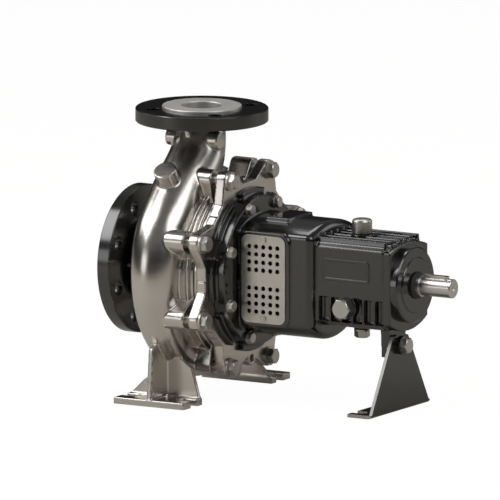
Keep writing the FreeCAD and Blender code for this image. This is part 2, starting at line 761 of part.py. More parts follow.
def shaft():
    """Stepped shaft with keyways for the impeller and the coupling."""
    steps = [
        (SHAFT_FRONT_X, SHAFT_NUT_R), (HUB_FRONT_X, SHAFT_IMPELLER_R),
        (HUB_BACK_X, SHAFT_SEAL_R), (BEARING_FRONT_X - 2, SHAFT_BEARING_R),
        (BEARING_FRONT_X + BEARING_W, SHAFT_MIDDLE_R), (BEARING_REAR_X, SHAFT_BEARING_R),
        (BEARING_REAR_X + BEARING_W + 1, SHAFT_OUTER_R), (SHAFT_STEP_X, SHAFT_END_R),
    ]
    profile = [(SHAFT_FRONT_X, 0)]
    for i, (x, radius) in enumerate(steps):
        end = steps[i + 1][0] if i + 1 < len(steps) else SHAFT_END_X - 1
        profile += [(x, radius), (end, radius)]
    profile += [(SHAFT_END_X, SHAFT_END_R - 1), (SHAFT_END_X, 0)]
    body = turned(profile)
    body = body.cut(turned([
        (SHAFT_END_X - 6, 0), (SHAFT_END_X + 1, 4.2), (SHAFT_END_X + 1, 0)
    ]))
    key_floor = SHAFT_END_R - KEY_DEPTH
    x0 = SHAFT_STEP_X + 1 + KEY_W / 2
    x1 = SHAFT_STEP_X + 1 + KEY_L - KEY_W / 2
    body = body.cut(round_key(x0, x1, KEY_W / 2, key_floor, SHAFT_OUTER_R + 1))
    hub_floor = SHAFT_IMPELLER_R + IMPELLER_KEY_H / 2 - 0.1 - IMPELLER_KEY_H - 0.1
    return body.cut(block(
        HUB_FRONT_X + 2.9, HUB_BACK_X - 1.9, -IMPELLER_KEY_W / 2, IMPELLER_KEY_W / 2,
        hub_floor, SHAFT_IMPELLER_R + 3,
    ))


def round_key(x0, x1, half_w, z0, z1):
    """Key form with round ends centred on x0 and x1."""
    ends = post(z0, z1, half_w, x0).fuse(post(z0, z1, half_w, x1))
    return ends.fuse(block(x0, x1, -half_w, half_w, z0, z1)).removeSplitter()


def drive_key():
    x0 = SHAFT_STEP_X + 1 + KEY_W / 2
    x1 = SHAFT_STEP_X + 1 + KEY_L - KEY_W / 2
    floor = SHAFT_END_R - KEY_DEPTH
    return round_key(x0, x1, KEY_W / 2 - FIT_GAP, floor, floor + KEY_H)


def seal_seat():
    """Stationary seal ring held in the cover's hub."""
    face_x = COVER_END_X - 8 - 10 - 3
    end = COVER_END_X - 8 - 4
    return rod(face_x, end, SEAT_R - FIT_GAP).cut(rod(face_x - 1, end + 1, SHAFT_SEAL_R + 1.5))


def seal_head():
    """Rotating seal ring in its metal collar, pressed against the seat by the spring."""
    face_x = COVER_END_X - 8 - 10 - 3
    back = face_x - 12
    inner = SHAFT_SEAL_R + FIT_GAP
    return turned([
        (back, inner), (back, 22), (face_x - 3, 22), (face_x - 3, 20), (face_x, 20),
        (face_x, inner),
    ])


def seal_spring():
    """Short coil spring, drawn as a corrugated sleeve between the hub and the seal head."""
    back = COVER_END_X - 8 - 10 - 3 - 12
    inner = SHAFT_SEAL_R + 1.0
    turns = 3
    pitch = (back - HUB_BACK_X) / turns
    profile = [(HUB_BACK_X, inner)]
    for i in range(turns):
        x = HUB_BACK_X + pitch * i
        profile += [(x, 18.0), (x + pitch / 2, 20.0)]
    profile += [(back, 18.0), (back, inner)]
    return turned(profile)


def race(inner_r, outer_r, x0):
    """One bearing ring with its ball groove."""
    ring = rod(x0, x0 + BEARING_W, outer_r).cut(rod(x0 - 1, x0 + BEARING_W + 1, inner_r))
    groove = Part.makeTorus(
        BALL_ORBIT_R, BALL_R + BALL_GAP, Vector(x0 + BEARING_W / 2, 0, 0), X_AXIS
    )
    ring = ring.cut(groove)
    return ring


def inner_race(x0):
    return race(BEARING_BORE_R + FIT_GAP, BALL_ORBIT_R - RACE_HALF_GAP, x0)


def outer_race(x0):
    return race(BALL_ORBIT_R + RACE_HALF_GAP, BEARING_R - FIT_GAP, x0)


def ball_set(x0):
    """Balls held in their cage ring."""
    mid = x0 + BEARING_W / 2
    cage = rod(mid - 4, mid + 4, BALL_ORBIT_R + 1).cut(rod(mid - 5, mid + 5, BALL_ORBIT_R - 1))
    balls = []
    for i in range(BALLS):
        ball = Part.makeSphere(BALL_R, Vector(mid, BALL_ORBIT_R, 0))
        balls.append(around(ball, 360.0 / BALLS * i))
    return fused([cage] + balls)


def arched_outline(y, z, top, bottom):
    """Closed wire at x = 0 with flat sides and an arched top and bottom."""
    return Part.Wire([
        Part.makeLine(Vector(0, -y, -z), Vector(0, -y, z)),
        Part.Arc(Vector(0, -y, z), Vector(0, 0, top), Vector(0, y, z)).toShape(),
        Part.makeLine(Vector(0, y, z), Vector(0, y, -z)),
        Part.Arc(Vector(0, y, -z), Vector(0, 0, bottom), Vector(0, -y, -z)).toShape(),
    ])


def lantern_solid(x0, x1, inset, corner):
    face = Part.Face(arched_outline(
        LANTERN_HALF_Y - inset, LANTERN_CORNER_Z - inset,
        LANTERN_TOP_Z - inset, LANTERN_BOTTOM_Z + inset,
    ))
    face.translate(Vector(x0, 0, 0))
    solid = face.extrude(Vector(x1 - x0, 0, 0))
    along = [e for e in solid.Edges if e.BoundBox.XLength > 1]
    return solid.makeFillet(corner, along)


def lantern_shell():
    """Lantern with its rounded shoulder towards the bearing housing."""
    outside = lantern_solid(BRACKET_RING_X + 2, LANTERN_END_X, 0.0, 7.0)
    end = [
        e for e in outside.Edges
        if e.BoundBox.XLength < 0.01 and abs(e.BoundBox.XMin - LANTERN_END_X) < 0.01
    ]
    return outside.makeFillet(LANTERN_END_ROUND, end)


def end_flange():
    """Arched flange at the drive end of the housing, which the bearing cover sits on."""
    face = Part.Face(arched_outline(
        END_FLANGE_HALF_Y, END_FLANGE_CORNER_Z, END_FLANGE_TOP_Z, END_FLANGE_BOTTOM_Z
    ))
    face.translate(Vector(HOUSING_END_X - END_FLANGE_T, 0, 0))
    return face.extrude(Vector(END_FLANGE_T, 0, 0))


def housing_outline(half_y, top):
    return [
        (-half_y, top - HOUSING_CHAMFER), (-half_y + HOUSING_CHAMFER, top),
        (half_y - HOUSING_CHAMFER, top), (half_y, top - HOUSING_CHAMFER),
        (half_y, HOUSING_SIDE_LOW_Z), (HOUSING_BOTTOM_HALF_Y, HOUSING_BOTTOM_Z),
        (-HOUSING_BOTTOM_HALF_Y, HOUSING_BOTTOM_Z), (-half_y, HOUSING_SIDE_LOW_Z),
    ]


def cooling_fins():
    fins = []
    for i in range(FINS):
        y = (i - (FINS - 1) / 2) * FIN_PITCH
        outline = [
            (y - FIN_ROOT_T / 2, HOUSING_TOP_Z - 2), (y - FIN_TIP_T / 2, FIN_TIP_Z),
            (y + FIN_TIP_T / 2, FIN_TIP_Z), (y + FIN_ROOT_T / 2, HOUSING_TOP_Z - 2),
        ]
        fins.append(prism_x(outline, FIN_START_X - 8, FIN_END_X))
    return fins


def side_pockets():
    """Pockets low on both sides of the housing, left open between upright ribs."""
    pockets = []
    for side in (-1, 1):
        y0, y1 = sorted((side * (HOUSING_HALF_Y - POCKET_DEPTH), side * (HOUSING_HALF_Y + 1)))
        pocket = block(POCKET_START_X, POCKET_END_X, y0, y1, HOUSING_SIDE_LOW_Z, POCKET_TOP_Z)
        for i in range(RIBS):
            x = POCKET_START_X + RIB_PITCH * (i + 1)
            pocket = pocket.cut(block(
                x - RIB_T / 2, x + RIB_T / 2, y0 - 1, y1 + 1, HOUSING_SIDE_LOW_Z, POCKET_TOP_Z
            ))
        pockets.append(pocket)
    return pockets


def support_lug():
    """Tapered lug below the housing that takes the support foot's bolt."""
    return prism_x([
        (-LUG_HALF_Y - 3, HOUSING_BOTTOM_Z + 8), (-LUG_HALF_Y, LUG_LOW_Z),
        (LUG_HALF_Y, LUG_LOW_Z), (LUG_HALF_Y + 3, HOUSING_BOTTOM_Z + 8),
    ], LUG_X0, SUPPORT_PLATE_X)


def window_pads():
    """Raised rounded pads on both flat sides of the lantern."""
    pads = []
    for side in (-1, 1):
        y0, y1 = sorted((side * (LANTERN_HALF_Y - 4), side * (LANTERN_HALF_Y + PAD_PROUD)))
        pads.append(rounded_plate(PAD_X0, PAD_X1, PAD_HALF_Z, GUARD_CORNER + 3, y0, y1))
    return pads


def bearing_bracket():
    """One casting: bolting flange, lantern with two windows, finned bearing housing, lug."""
    rings = rod(COVER_END_X, BRACKET_RING_X, BRACKET_FOOT_R).fuse(
        rod(BRACKET_RING_X - 1, LANTERN_X, BRACKET_RING_R)
    )
    housing = prism_x(
        housing_outline(HOUSING_HALF_Y, HOUSING_TOP_Z), HOUSING_FRONT_X,
        HOUSING_END_X - END_FLANGE_T,
    )
    level_boss = Part.makeCylinder(
        LEVEL_BOSS_R, POCKET_DEPTH + 4, Vector(LEVEL_X, -HOUSING_HALF_Y, LEVEL_Z), Y_AXIS
    )
    for pocket in side_pockets():
        housing = housing.cut(pocket)
    top_pad = block(209, 241, -30, 30, LANTERN_TOP_Z - 10, LANTERN_TOP_Z + 2)
    filler_boss = post(HOUSING_TOP_Z - 4, FILLER_BASE_Z, FILLER_R + 1, PLUG_X)
    drain_boss = post(DRAIN_TOP_Z, HOUSING_BOTTOM_Z + 4, DRAIN_COLLAR_R + 2, PLUG_X)
    solids = [rings, lantern_shell(), housing, end_flange(), level_boss, top_pad, filler_boss]
    solids.append(drain_boss)
    body = fused(solids + cooling_fins() + window_pads() + [support_lug()])
    body = body.cut(lantern_solid(LANTERN_X, HOUSING_FRONT_X - 2, LANTERN_WALL, 5.0))
    body = body.cut(rod(COVER_END_X - 1, LANTERN_X + 1, BRACKET_OPENING_R))
    body = body.cut(rounded_plate(
        WINDOW_X0, WINDOW_X1, WINDOW_HALF_Z, WINDOW_CORNER,
        -LANTERN_HALF_Y - PAD_PROUD - 1, LANTERN_HALF_Y + PAD_PROUD + 1,
    ))
    body = body.cut(bracket_bores())
    for tool in bracket_holes():
        body = body.cut(tool)
    return body


def bracket_bores():
    """Bores on the shaft axis: front seal seat, bearing bore and the oil sump under it."""
    seal_x = BEARING_FRONT_X - 1 - LIP_SEAL_W
    bores = turned([
        (HOUSING_FRONT_X - 3, 0), (HOUSING_FRONT_X - 3, SHAFT_SEAL_R + 2),
        (seal_x, SHAFT_SEAL_R + 2), (seal_x, LIP_SEAL_R), (BEARING_FRONT_X - 1, LIP_SEAL_R),
        (BEARING_FRONT_X - 1, BEARING_R - 3), (BEARING_FRONT_X, BEARING_R - 3),
        (BEARING_FRONT_X, BEARING_R), (HOUSING_END_X + 1, BEARING_R), (HOUSING_END_X + 1, 0),
    ])
    sump = block(
        BEARING_FRONT_X + BEARING_W + 2, BEARING_REAR_X - 2, -SUMP_HALF_Y, SUMP_HALF_Y,
        SUMP_LOW_Z, 0,
    )
    return bores.fuse(sump)


def bracket_holes():
    """Bolt holes, corner notches of the bolting flange and the threaded plug holes."""
    holes = [placed_round(
        rod(0, BRACKET_FOOT_T + BRACKET_RING_T + 2, BRACKET_BOLT_R + HOLE_GAP / 2),
        COVER_END_X - 1, BRACKET_BOLT_PITCH_R, lobe_angles(),
    )]
    half = BRACKET_FOOT_R * math.tan(math.radians(NOTCH_HALF_DEG))
    notch = block(
        -1, BRACKET_FOOT_T, BRACKET_RING_R - BRACKET_FOOT_R, 10, -half, half
    )
    holes.append(placed_round(notch, COVER_END_X, BRACKET_FOOT_R, lobe_angles()))
    holes.append(post(HOUSING_TOP_Z - 20, FILLER_BASE_Z + 1, PLUG_THREAD_R + THREAD_GAP, PLUG_X))
    holes.append(post(DRAIN_TOP_Z - 1, SUMP_LOW_Z + 1, DRAIN_THREAD_R + THREAD_GAP, PLUG_X))
    holes.append(Part.makeCylinder(
        PLUG_THREAD_R + THREAD_GAP, HOUSING_HALF_Y - SUMP_HALF_Y + 2,
        Vector(LEVEL_X, -HOUSING_HALF_Y - 1, LEVEL_Z), Y_AXIS,
    ))
    holes.append(rod(
        LUG_X0 - 1, SUPPORT_PLATE_X + 1, CASING_BOLT_R + THREAD_GAP, 0, SUPPORT_BOLT_Z
    ))
    holes.append(placed_round(
        rod(0, 12, GUARD_SCREW_R + THREAD_GAP), HOUSING_END_X - 11, COVER_SCREW_PITCH_R,
        cover_screw_angles(),
    ))
    for x, y, z in guard_screw_places():
        holes.append(guard_screw_hole(x, y, z, GUARD_SCREW_R + THREAD_GAP))
    return holes


def guard_screw_places():
    x = (GUARD_X0 + GUARD_X1) / 2
    y = LANTERN_HALF_Y + PAD_PROUD
    return [(x, side * y, end * GUARD_SCREW_Z) for side in (-1, 1) for end in (-1, 1)]


def guard_screw_hole(x, y, z, radius):
    depth = 7.0
    start = y - depth if y > 0 else y - 4
    return Part.makeCylinder(radius, depth + 4, Vector(x, start, z), Y_AXIS)


def guard_plate(side):
    """Perforated guard plate over one lantern window."""
    y0, y1 = sorted((
        side * (LANTERN_HALF_Y + PAD_PROUD), side * (LANTERN_HALF_Y + PAD_PROUD + GUARD_T)
    ))
    plate = rounded_plate(GUARD_X0, GUARD_X1, GUARD_HALF_Z, GUARD_CORNER, y0, y1)
    mid = (GUARD_X0 + GUARD_X1) / 2
    holes = []
    for i in range(GUARD_HOLE_COLUMNS):
        x = mid + (i - (GUARD_HOLE_COLUMNS - 1) / 2) * GUARD_HOLE_PITCH_X
        for row in GUARD_HOLE_ROWS:
            for end in (-1, 1):
                holes.append(Part.makeCylinder(
                    GUARD_HOLE_R, GUARD_T + 2, Vector(x, y0 - 1, end * row), Y_AXIS
                ))
    for end in (-1, 1):
        holes.append(Part.makeCylinder(
            GUARD_SCREW_R + THREAD_GAP, GUARD_T + 2, Vector(mid, y0 - 1, end * GUARD_SCREW_Z),
            Y_AXIS,
        ))
    return plate.cut(Part.makeCompound(holes))


def guard_screws():
    """Flat-headed screws that hold the two guard plates."""
    screws = []
    for x, y, z in guard_screw_places():
        out = 1 if y > 0 else -1
        face = y + out * GUARD_T
        head = Part.makeCylinder(4.0, 1.8, Vector(x, face, z), Vector(0, out, 0))
        shank = Part.makeCylinder(GUARD_SCREW_R, GUARD_T + 6, Vector(x, face, z), Vector(0, -out, 0))
        screws.append(head.fuse(shank).removeSplitter())
    return Part.makeCompound(screws)


def cover_screw_angles():
    return [360.0 / COVER_SCREWS * (i + 0.5) for i in range(COVER_SCREWS)]


def bearing_cover():
    """Stepped end cover that closes the bearing bore and carries the rear lip seal."""
    end = BEARING_COVER_END_X
    rim = end - BEARING_COVER_STEP
    body = turned([
        (BEARING_REAR_X + BEARING_W, BEARING_R - 5),
        (BEARING_REAR_X + BEARING_W, BEARING_R - FIT_GAP),
        (HOUSING_END_X, BEARING_R - FIT_GAP), (HOUSING_END_X, BEARING_COVER_R),
        (rim - 1.5, BEARING_COVER_R), (rim, BEARING_COVER_R - 1.5),
        (rim, BEARING_COVER_STEP_R), (end, BEARING_COVER_STEP_R - 1),
        (end, SHAFT_OUTER_R + 1.5), (end - 2, SHAFT_OUTER_R + 1.5),
        (end - 2, LIP_SEAL_R), (end - 2 - LIP_SEAL_W, LIP_SEAL_R),
        (end - 2 - LIP_SEAL_W, BEARING_R - 5),
    ])
    screw_hole = rod(0, BEARING_COVER_T + 2, GUARD_SCREW_R + THREAD_GAP).fuse(rod(
        rim - COVER_SCREW_HEAD_T - HOUSING_END_X + 1, BEARING_COVER_T + 2,
        COVER_SCREW_HEAD_R + THREAD_GAP,
    ))
    return body.cut(placed_round(
        screw_hole, HOUSING_END_X - 1, COVER_SCREW_PITCH_R, cover_screw_angles()
    ))


def cover_screws():
    """Round-headed screws sunk flush into the rim of the bearing cover."""
    head_x = BEARING_COVER_END_X - BEARING_COVER_STEP - COVER_SCREW_HEAD_T
    head = rod(0, COVER_SCREW_HEAD_T, COVER_SCREW_HEAD_R)
    shank = rod(HOUSING_END_X - 10 - head_x, 0.5, GUARD_SCREW_R)
    return placed_round(
        head.fuse(shank).removeSplitter(), head_x, COVER_SCREW_PITCH_R, cover_screw_angles()
    )


def lip_seal(x0, shaft_r):
    """Rubber lip seal with a narrow sealing lip towards the shaft."""
    x1 = x0 + LIP_SEAL_W
    outer = LIP_SEAL_R - FIT_GAP
    return turned([
        (x0, outer), (x1, outer), (x1, shaft_r + 3), (x0 + 3, shaft_r + 3),
        (x0 + 2.5, shaft_r + FIT_GAP), (x0 + 1.5, shaft_r + FIT_GAP), (x0, shaft_r + 3),
    ])


def deflector():
    """Rubber deflector ring that turns with the shaft in front of the bearing cover."""
    x0 = BEARING_COVER_END_X + 0.4
    inner = SHAFT_OUTER_R + FIT_GAP
    return turned([
        (x0, inner), (x0, DEFLECTOR_R), (x0 + 1.5, DEFLECTOR_R),
        (x0 + DEFLECTOR_W, DEFLECTOR_R - 1.5), (x0 + DEFLECTOR_W, inner),
    ])


def filler_cap():
    """Vented oil filler cap with a rounded top."""
    head = turned_about_z([
        (0, FILLER_BASE_Z + SEAL_WASHER_T), (FILLER_R, FILLER_BASE_Z + SEAL_WASHER_T),
        (FILLER_R, FILLER_TOP_Z - 3), (FILLER_R - 1, FILLER_TOP_Z - 1),
        (FILLER_R - 3.5, FILLER_TOP_Z), (0, FILLER_TOP_Z),
    ], PLUG_X)
    stem = post(HOUSING_TOP_Z - 10, FILLER_BASE_Z + SEAL_WASHER_T + 1, PLUG_THREAD_R, PLUG_X)
    return head.fuse(stem).removeSplitter()


def drain_plug():
    """Hexagon drain plug with a collar, screwed up into the sump."""
    collar_low = DRAIN_TOP_Z - SEAL_WASHER_T - 2
    collar = post(collar_low, DRAIN_TOP_Z - SEAL_WASHER_T, DRAIN_COLLAR_R, PLUG_X)
    stem = post(DRAIN_TOP_Z - 3, SUMP_LOW_Z, DRAIN_THREAD_R, PLUG_X)
    head = hex_head(DRAIN_FLATS, DRAIN_HEAD_T)
    head.rotate(ORIGIN, Y_AXIS, 90)
    head.translate(Vector(PLUG_X, 0, collar_low + 0.5))
    return fused([collar, stem, head])


def level_plug():
    """Hexagon oil level plug on the side of the housing."""
    boss_y = -HOUSING_HALF_Y
    seat_y = boss_y - SEAL_WASHER_T
    height = seat_y - LEVEL_HEAD_Y
    head = hex_head(LEVEL_FLATS, height)
    head.rotate(ORIGIN, Z_AXIS, -90)
    head.translate(Vector(LEVEL_X, seat_y, LEVEL_Z))
    stem = Part.makeCylinder(
        PLUG_THREAD_R, HOUSING_HALF_Y - SUMP_HALF_Y - 2, Vector(LEVEL_X, seat_y - 0.5, LEVEL_Z),
        Y_AXIS,
    )
    return head.fuse(stem).removeSplitter()


def sealing_washers():
    """Flat sealing rings under the three oil plugs."""
    cap = post(FILLER_BASE_Z, FILLER_BASE_Z + SEAL_WASHER_T, FILLER_R - 1, PLUG_X).cut(
        post(FILLER_BASE_Z - 1, FILLER_BASE_Z + 3, PLUG_THREAD_R + THREAD_GAP, PLUG_X)
    )
    low = DRAIN_TOP_Z - SEAL_WASHER_T
    drain = post(low, DRAIN_TOP_Z, DRAIN_COLLAR_R - 0.5, PLUG_X).cut(
        post(low - 1, DRAIN_TOP_Z + 1, DRAIN_THREAD_R + THREAD_GAP, PLUG_X)
    )
    start = Vector(LEVEL_X, -HOUSING_HALF_Y - SEAL_WASHER_T, LEVEL_Z)
    level = Part.makeCylinder(LEVEL_BOSS_R - 1, SEAL_WASHER_T, start, Y_AXIS).cut(
        Part.makeCylinder(PLUG_THREAD_R + THREAD_GAP, SEAL_WASHER_T + 2, start - Y_AXIS, Y_AXIS)
    )
    return Part.makeCompound([cap, drain, level])


def casing_bolts():
    head_x = COVER_END_X + CASING_WASHER_T
    length = head_x - (JOINT_X - 20)
    bolt = hex_bolt(CASING_BOLT_R, CASING_BOLT_FLATS, CASING_BOLT_HEAD, length)
    return placed_round(bolt, head_x, LOBE_PITCH_R, lobe_angles())


def casing_bolt_washers():
    ring = washer(CASING_BOLT_R + 0.5, CASING_WASHER_R, CASING_WASHER_T)
    return placed_round(ring, COVER_END_X, LOBE_PITCH_R, lobe_angles())


def bracket_bolts():
    head_x = LANTERN_X + BRACKET_WASHER_T
    length = head_x - (COVER_END_X - 10)
    bolt = hex_bolt(BRACKET_BOLT_R, BRACKET_BOLT_FLATS, BRACKET_BOLT_HEAD, length)
    return placed_round(bolt, head_x, BRACKET_BOLT_PITCH_R, lobe_angles())


def bracket_bolt_washers():
    ring = washer(BRACKET_BOLT_R + 0.4, BRACKET_WASHER_R, BRACKET_WASHER_T)
    return placed_round(ring, LANTERN_X, BRACKET_BOLT_PITCH_R, lobe_angles())


def support_foot():
    """Bent sheet foot: upright trapezoid plate and a slotted base flange."""
    x0 = SUPPORT_PLATE_X
    x1 = SUPPORT_PLATE_X + SUPPORT_T
    upright = prism_x([
        (-SUPPORT_BASE_HALF_Y, FLOOR_Z), (-SUPPORT_TOP_HALF_Y, SUPPORT_TOP_Z),
        (SUPPORT_TOP_HALF_Y, SUPPORT_TOP_Z), (SUPPORT_BASE_HALF_Y, FLOOR_Z),
    ], x0, x1)
    base = block(
        SUPPORT_TOE_X, x1, -SUPPORT_BASE_HALF_Y, SUPPORT_BASE_HALF_Y,
        FLOOR_Z, FLOOR_Z + SUPPORT_T,
    )
    foot = upright.fuse(base).removeSplitter()
    bend = [
        e for e in foot.Edges
        if e.BoundBox.YLength > SUPPORT_BASE_HALF_Y and abs(e.BoundBox.ZMin - FLOOR_Z) < 0.01
        and abs(e.BoundBox.XMin - x1) < 0.01 and e.BoundBox.ZLength < 0.01
    ]
    foot = foot.makeFillet(SUPPORT_T, bend)
    for side in (-1, 1):
        y = side * SUPPORT_SLOT_Y
        slot = post(
            FLOOR_Z - 1, FLOOR_Z + SUPPORT_T + 1, SUPPORT_SLOT_R, SUPPORT_SLOT_X, y
        ).fuse(block(
            SUPPORT_TOE_X - 1, SUPPORT_SLOT_X, y - SUPPORT_SLOT_R, y + SUPPORT_SLOT_R,
            FLOOR_Z - 1, FLOOR_Z + SUPPORT_T + 1,
        ))
        foot = foot.cut(slot)
    return foot.cut(rod(x0 - 1, x1 + 1, CASING_BOLT_R + HOLE_GAP, 0, SUPPORT_BOLT_Z))


def support_bolt():
    head_x = SUPPORT_PLATE_X + SUPPORT_T + SUPPORT_WASHER_T
    bolt = hex_bolt(CASING_BOLT_R, CASING_BOLT_FLATS, CASING_BOLT_HEAD, head_x - LUG_X0)
    bolt.translate(Vector(head_x, 0, SUPPORT_BOLT_Z))
    return bolt


def support_bolt_washer():
    """Thick washer that spreads the support bolt's load over the sheet foot."""
    ring = washer(CASING_BOLT_R + 0.5, CASING_WASHER_R, SUPPORT_WASHER_T)
    ring.translate(Vector(SUPPORT_PLATE_X + SUPPORT_T, 0, SUPPORT_BOLT_Z))
    return ring


def all_parts():
    suction_flange = loose_flange(
        SUCTION_FLANGE_R, SUCTION_STUB_R, SUCTION_NECK_R, SUCTION_PCD, SUCTION_HOLES,
        180.0 / SUCTION_HOLES,
    )
    discharge_flange = to_discharge(loose_flange(
        DISCHARGE_FLANGE_R, DISCHARGE_STUB_R, DISCHARGE_NECK_R, DISCHARGE_PCD, DISCHARGE_HOLES,
        180.0 / DISCHARGE_HOLES,
    ))
    front_seal_x = BEARING_FRONT_X - 1 - LIP_SEAL_W
    rear_seal_x = BEARING_COVER_END_X - 2 - LIP_SEAL_W
    return {
        "casing": casing(),
        "suction_stub_ring": stub_ring(SUCTION_BORE_R, SUCTION_STUB_R),
        "discharge_stub_ring": to_discharge(stub_ring(DISCHARGE_BORE_R, DISCHARGE_STUB_R)),
        "suction_flange": suction_flange,
        "discharge_flange": discharge_flange,
        "wear_ring": wear_ring(),
        "casing_gasket": casing_gasket(),
        "casing_cover": casing_cover(),
        "casing_bolts": casing_bolts(),
        "casing_bolt_washers": casing_bolt_washers(),
        "bearing_bracket": bearing_bracket(),
        "bracket_bolts": bracket_bolts(),
        "bracket_bolt_washers": bracket_bolt_washers(),
        "guard_plate_left": guard_plate(-1),
        "guard_plate_right": guard_plate(1),
        "guard_screws": guard_screws(),
        "shaft": shaft(),
        "impeller": impeller(),
        "impeller_washer": impeller_washer(),
        "impeller_nut": impeller_nut(),
        "impeller_key": impeller_key(),
        "seal_head": seal_head(),
        "seal_spring": seal_spring(),
        "seal_seat": seal_seat(),
        "front_bearing_inner": inner_race(BEARING_FRONT_X),
        "front_bearing_outer": outer_race(BEARING_FRONT_X),
        "front_bearing_balls": ball_set(BEARING_FRONT_X),
        "rear_bearing_inner": inner_race(BEARING_REAR_X),
        "rear_bearing_outer": outer_race(BEARING_REAR_X),
        "rear_bearing_balls": ball_set(BEARING_REAR_X),
        "front_lip_seal": lip_seal(front_seal_x, SHAFT_SEAL_R),
        "rear_lip_seal": lip_seal(rear_seal_x, SHAFT_OUTER_R),
        "bearing_cover": bearing_cover(),
        "bearing_cover_screws": cover_screws(),
        "deflector_ring": deflector(),
        "drive_key": drive_key(),
        "oil_filler_cap": filler_cap(),
        "oil_drain_plug": drain_plug(),
        "oil_level_plug": level_plug(),
        "sealing_washers": sealing_washers(),
        "support_foot": support_foot(),
        "support_bolt": support_bolt(),
        "support_bolt_washer": support_bolt_washer(),
    }


def main():
    os.makedirs("parts", exist_ok=True)
    for name, shape in all_parts().items():
        print(
            f"{name}: valid {shape.isValid()}, {len(shape.Solids)} solids, "
            f"{shape.Volume / 1000:.1f} cm3"
        )
        shape.exportStep(f"parts/{name}.step")


main()
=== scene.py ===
import json
import math

import bmesh
import bpy
from mathutils import Matrix, Vector


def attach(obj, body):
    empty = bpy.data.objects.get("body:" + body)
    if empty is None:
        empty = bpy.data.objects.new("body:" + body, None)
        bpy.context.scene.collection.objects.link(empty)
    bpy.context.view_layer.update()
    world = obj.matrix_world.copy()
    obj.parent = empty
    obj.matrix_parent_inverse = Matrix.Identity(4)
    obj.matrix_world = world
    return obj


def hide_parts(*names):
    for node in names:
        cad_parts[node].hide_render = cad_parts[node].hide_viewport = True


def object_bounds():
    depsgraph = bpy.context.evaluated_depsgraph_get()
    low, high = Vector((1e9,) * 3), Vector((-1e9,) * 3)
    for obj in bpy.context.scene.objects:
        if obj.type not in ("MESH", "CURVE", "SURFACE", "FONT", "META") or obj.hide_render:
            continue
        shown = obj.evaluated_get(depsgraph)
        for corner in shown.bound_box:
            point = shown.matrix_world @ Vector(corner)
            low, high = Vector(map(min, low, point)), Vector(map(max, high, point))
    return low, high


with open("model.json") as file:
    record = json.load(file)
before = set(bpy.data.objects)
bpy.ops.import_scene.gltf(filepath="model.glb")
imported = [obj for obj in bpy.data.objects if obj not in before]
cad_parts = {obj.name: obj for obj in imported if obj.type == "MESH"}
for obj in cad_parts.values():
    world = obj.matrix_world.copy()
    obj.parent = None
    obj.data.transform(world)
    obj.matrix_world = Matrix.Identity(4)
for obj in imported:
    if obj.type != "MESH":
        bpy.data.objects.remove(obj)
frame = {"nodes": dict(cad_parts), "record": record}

CAD_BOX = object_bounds()
NODES = frame["nodes"]
MM = 0.001

# Camera, in the part's frame
AZIMUTH = math.radians(30.0)
ELEVATION = math.radians(10.0)
VIEW_WIDTH = 0.619
VIEW_CENTRE_RIGHT = 0.0595
VIEW_CENTRE_UP = 0.1745
FOOT_POINT = Vector((0.100, 0.0, -0.160))
CAMERA_DISTANCE = 3.0
CAMERA_REACH = 50.0

# Studio: shares of the white background that the camera and the metal see
PUMP_MIDDLE_X = 0.2
FLOOR_SIZE = 12.0
FLOOR_DROP = 0.0004
FLOOR_MATT = (0.70, 0.66, 0.60, 1)
FLOOR_WHITE = 1.06
FLOOR_WHITE_SHARE = 0.92
METAL_BACKGROUND_SHARE = 0.01
WORLD_STRENGTH = 1.0

# Height in the sky and its grey level
STUDIO_SWEEP = ((0.0, 0.005), (0.25, 0.008), (0.45, 0.14), (1.0, 0.12))

# Softboxes: name, bearing, size in metres and brightness
LIGHT_DISTANCE = 2.3
LIGHT_TARGET = (PUMP_MIDDLE_X, 0.0, -0.02)
SOFTBOXES = (
    ("key_softbox", (-0.70, 0.68, 0.08), (1.35, 1.34), 3.9),
    ("left_back_softbox", (-0.80, 0.48, -0.36), (0.7, 0.7), 2.6),
    ("front_softbox", (0.52, 0.65, 0.55), (1.5, 1.25), 2.3),
    ("left_low_softbox", (-0.86, 0.14, 0.50), (0.9, 0.6), 1.6),
    ("right_softbox", (0.90, 0.25, -0.30), (1.0, 1.0), 1.2),
    ("back_softbox", (0.05, 0.84, -0.54), (1.2, 0.6), 2.6),
)

# Finishes
CAST_STEEL = (0.62, 0.59, 0.55)
TURNED_STEEL = (0.66, 0.64, 0.61)
FACED_STEEL = (0.76, 0.74, 0.71)
SHEET_STEEL = (0.62, 0.595, 0.55)
GROUND_STEEL = (0.75, 0.75, 0.76)
ZINC = (0.58, 0.56, 0.52)
BLACK_PAINT = (0.007, 0.007, 0.0065)
RUBBER = (0.030, 0.030, 0.030)
CERAMIC = (0.78, 0.76, 0.70)
# Painted highlight: pale colour for the black sheet's sideways-facing cut edges
EDGE_HIGHLIGHT_COLOUR = (0.42, 0.40, 0.37)
PAINT_INDEX = 1.9
DRIFT_SCALE = 22.0
PATCH_SCALE = 60.0
GRAIN_DEPTH = 0.0004
# Sideways share of the normal over which the painted edge highlight fades in
SIDEWAYS_START = 0.70
SIDEWAYS_FULL = 0.90

# Sealing faces are rougher than the shaft; the bent sheet gets a painted highlight, a pale colour on its
# sideways-facing cut edges
SPECIAL_FINISHES = {
    "suction_stub_ring": "stainless_faced",
    "discharge_stub_ring": "stainless_faced",
    "support_foot": "black_sheet",
}

# Cast skins: cell size, rounds of smoothing and share of faces kept
SKIN_CELL = 0.0010
WELD_DISTANCE = 0.00002
STEEL_ROUNDS = 5
BRACKET_ROUNDS = 8
CASING_SHARE = 0.14
COVER_SHARE = 0.22
BRACKET_SHARE = 0.28

# Casing cover: rim between its lobes, in millimetres
RIM_R = 109.5
RIM_HALF = 15.0
FLANK_END_R = 129.4
FLANK_END_HALF = 43.8
RIM_CLEARANCE = 12.0
RIM_X0 = 154.9
RIM_X1 = 169.0
LOBES = 8
JACKING_VALLEY = 6

